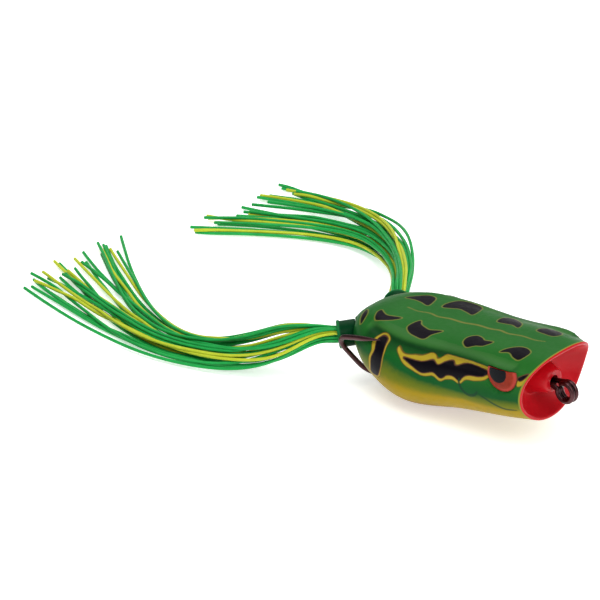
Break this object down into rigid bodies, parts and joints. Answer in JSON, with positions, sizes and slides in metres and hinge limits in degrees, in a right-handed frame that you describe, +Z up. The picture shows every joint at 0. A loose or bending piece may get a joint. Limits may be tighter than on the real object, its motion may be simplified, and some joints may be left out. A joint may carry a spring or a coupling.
{
  "type": "topwater popper",
  "caption": "Soft hollow-body frog lure with a cupped popping mouth, a double hook folded along the body and two strand-skirt legs.",
  "frame": {"origin": "centre of the small flat under the belly that the lure rests on", "axes": "+X towards the mouth, +Y the frog's left side, +Z up"},
  "size_m": [0.1498, 0.086, 0.0239],
  "materials": {
    "body_skin": "painted soft plastic under a clear gloss coat",
    "eye": "clear gloss dome",
    "hook_wire": "black nickel plate",
    "lead": "dull cast lead",
    "collar": "smooth soft rubber",
    "tie": "matt rubber",
    "strand_green": "translucent silicone",
    "strand_yellow": "translucent silicone"
  },
  "bodies": {
    "body": {"body_shell": "body_skin", "eye_left": "eye", "eye_right": "eye", "leg_collar_left": "collar", "leg_collar_right": "collar", "strand_root_left": "strand_green", "strand_root_right": "strand_green", "strand_tie_left": "tie", "strand_tie_right": "tie"},
    "hook": {"double_hook": "hook_wire", "keel_weight": "lead"},
    "leg_left": {"strand_lock_left_1": "strand_green", "strand_lock_left_2": "strand_green", "strand_lock_left_3": "strand_yellow", "strand_lock_left_4": "strand_green", "strand_lock_left_5": "strand_green", "strand_lock_left_6": "strand_yellow", "strand_lock_left_7": "strand_green"},
    "leg_right": {"strand_lock_right_1": "strand_green", "strand_lock_right_2": "strand_green", "strand_lock_right_3": "strand_yellow", "strand_lock_right_4": "strand_green", "strand_lock_right_5": "strand_green", "strand_lock_right_6": "strand_yellow", "strand_lock_right_7": "strand_green"}
  },
  "joints": [
    {"name": "hook_slide", "type": "slide", "parent": "body", "child": "hook", "axis": [0.9697, 0, 0.2442], "range_m": [-0.0006, 0.001]},
    {"name": "kick_left", "type": "hinge", "parent": "body", "child": "leg_left", "pos_m": [-0.02062, 0.01028, 0.01207], "axis": [0, 0, -1], "range_deg": [-4, 30]},
    {"name": "kick_right", "type": "hinge", "parent": "body", "child": "leg_right", "pos_m": [-0.02062, -0.01028, 0.01207], "axis": [0, 0, 1], "range_deg": [-4, 30]}
  ]
}
